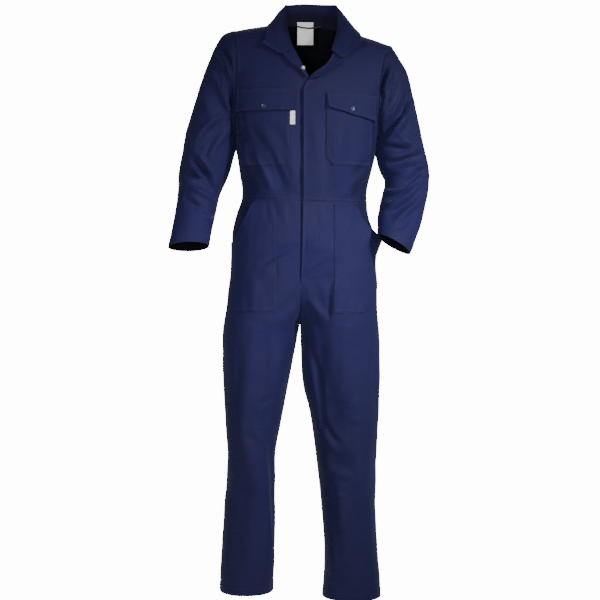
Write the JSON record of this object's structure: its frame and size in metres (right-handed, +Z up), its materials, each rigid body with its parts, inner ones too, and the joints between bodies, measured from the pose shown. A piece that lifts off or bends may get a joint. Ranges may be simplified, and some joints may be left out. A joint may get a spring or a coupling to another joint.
{
  "type": "boiler suit",
  "caption": "One-piece navy twill workwear boiler suit with turned collar, lapels, press-stud placket, flapped chest pockets and slanted hip pockets, hollow as worn.",
  "frame": {"origin": "middle of the shoulder line, where the wearer's shoulders and neck hold the garment up", "axes": "+X to the wearer's left, -Y out of the front, +Z up"},
  "size_m": [0.7129, 0.2732, 1.6418],
  "materials": {
    "navy_twill": "matt twill with a soft sheen",
    "stud_metal": "satin",
    "label_white": "matt woven",
    "loop_black": "matt woven tape"
  },
  "bodies": {
    "root": {"back_upper": "navy_twill", "front_left": "navy_twill", "front_right": "navy_twill", "collar": "navy_twill", "lapel_left": "navy_twill", "lapel_right": "navy_twill", "sleeve_left": "navy_twill", "sleeve_right": "navy_twill", "trouser_front_left": "navy_twill", "trouser_front_right": "navy_twill", "trouser_back_left": "navy_twill", "trouser_back_right": "navy_twill", "placket": "navy_twill", "chest_pocket_left": "navy_twill", "chest_pocket_right": "navy_twill", "pocket_flap_left": "navy_twill", "pocket_flap_right": "navy_twill", "hip_pocket_left": "navy_twill", "hip_pocket_right": "navy_twill", "rule_pocket": "navy_twill", "flap_stud_left": "stud_metal", "flap_stud_right": "stud_metal", "placket_stud": "stud_metal", "neck_stud": "stud_metal", "neck_label": "label_white", "tab_label": "label_white", "hanger_loop": "loop_black"}
  },
  "joints": []
}
